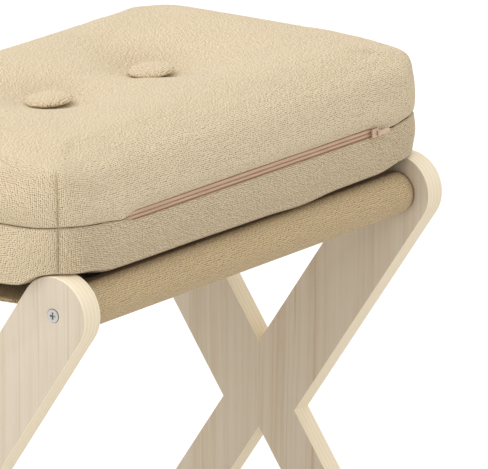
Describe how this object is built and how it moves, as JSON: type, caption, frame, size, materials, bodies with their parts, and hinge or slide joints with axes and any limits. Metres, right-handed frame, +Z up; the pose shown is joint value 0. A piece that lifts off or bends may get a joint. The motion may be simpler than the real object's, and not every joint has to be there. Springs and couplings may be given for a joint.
{
  "type": "footrest",
  "caption": "X-leg plywood footrest with a fabric seat sling on round rails and a loose tufted cushion in a zipped linen cover.",
  "frame": {"origin": "centre of the footprint on the floor, midway between the two X panels", "axes": "+X across the seat towards the zip, +Y along the rails, +Z up"},
  "size_m": [0.306, 0.446, 0.4358],
  "materials": {
    "plywood": "clear-lacquered birch plywood, pale face veneer, fine ply lines on the edges",
    "beech": "sanded and clear-oiled beech dowel",
    "sling_linen": "plain-woven linen-look cloth, double layer",
    "screw_steel": "zinc-plated countersunk screws with a cross recess",
    "glide_nylon": "off-white nylon nail-in glides",
    "foam": "open-cell upholstery foam",
    "cover_linen": "coarse slubby linen-look weave in natural beige",
    "twine": "waxed upholstery twine",
    "zip_tape": "woven polyester tape, tan",
    "zip_nylon": "nylon coil, tan",
    "zip_enamel": "tan enamelled die-cast zinc"
  },
  "bodies": {
    "frame": {"front_panel": "plywood", "rear_panel": "plywood", "left_rail": "beech", "right_rail": "beech", "seat_sling": "sling_linen", "front_screws": "screw_steel", "rear_screws": "screw_steel", "front_glides": "glide_nylon", "rear_glides": "glide_nylon"},
    "cushion": {"cushion_core": "foam", "cover_top": "cover_linen", "cover_bottom": "cover_linen", "top_buttons": "cover_linen", "underside_buttons": "cover_linen", "tuft_twine": "twine", "zip_tape_upper": "zip_tape", "zip_tape_lower": "zip_tape", "zip_coil_upper": "zip_nylon", "zip_coil_lower": "zip_nylon", "zip_stops": "zip_enamel"},
    "zip_slider": {"zip_slider": "zip_enamel"},
    "zip_pull": {"zip_pull": "zip_enamel"}
  },
  "joints": [
    {"name": "cushion_lift", "type": "slide", "parent": "frame", "child": "cushion", "axis": [0, 0, 1], "range_m": [0, 0.25]},
    {"name": "zip_slide", "type": "slide", "parent": "cushion", "child": "zip_slider", "axis": [0, -1, 0], "range_m": [0, 0.295]},
    {"name": "zip_pull_swing", "type": "hinge", "parent": "zip_slider", "child": "zip_pull", "pos_m": [0.1418, 0.149, 0.38032], "axis": [0, 0, -1], "range_deg": [0, 170]}
  ]
}
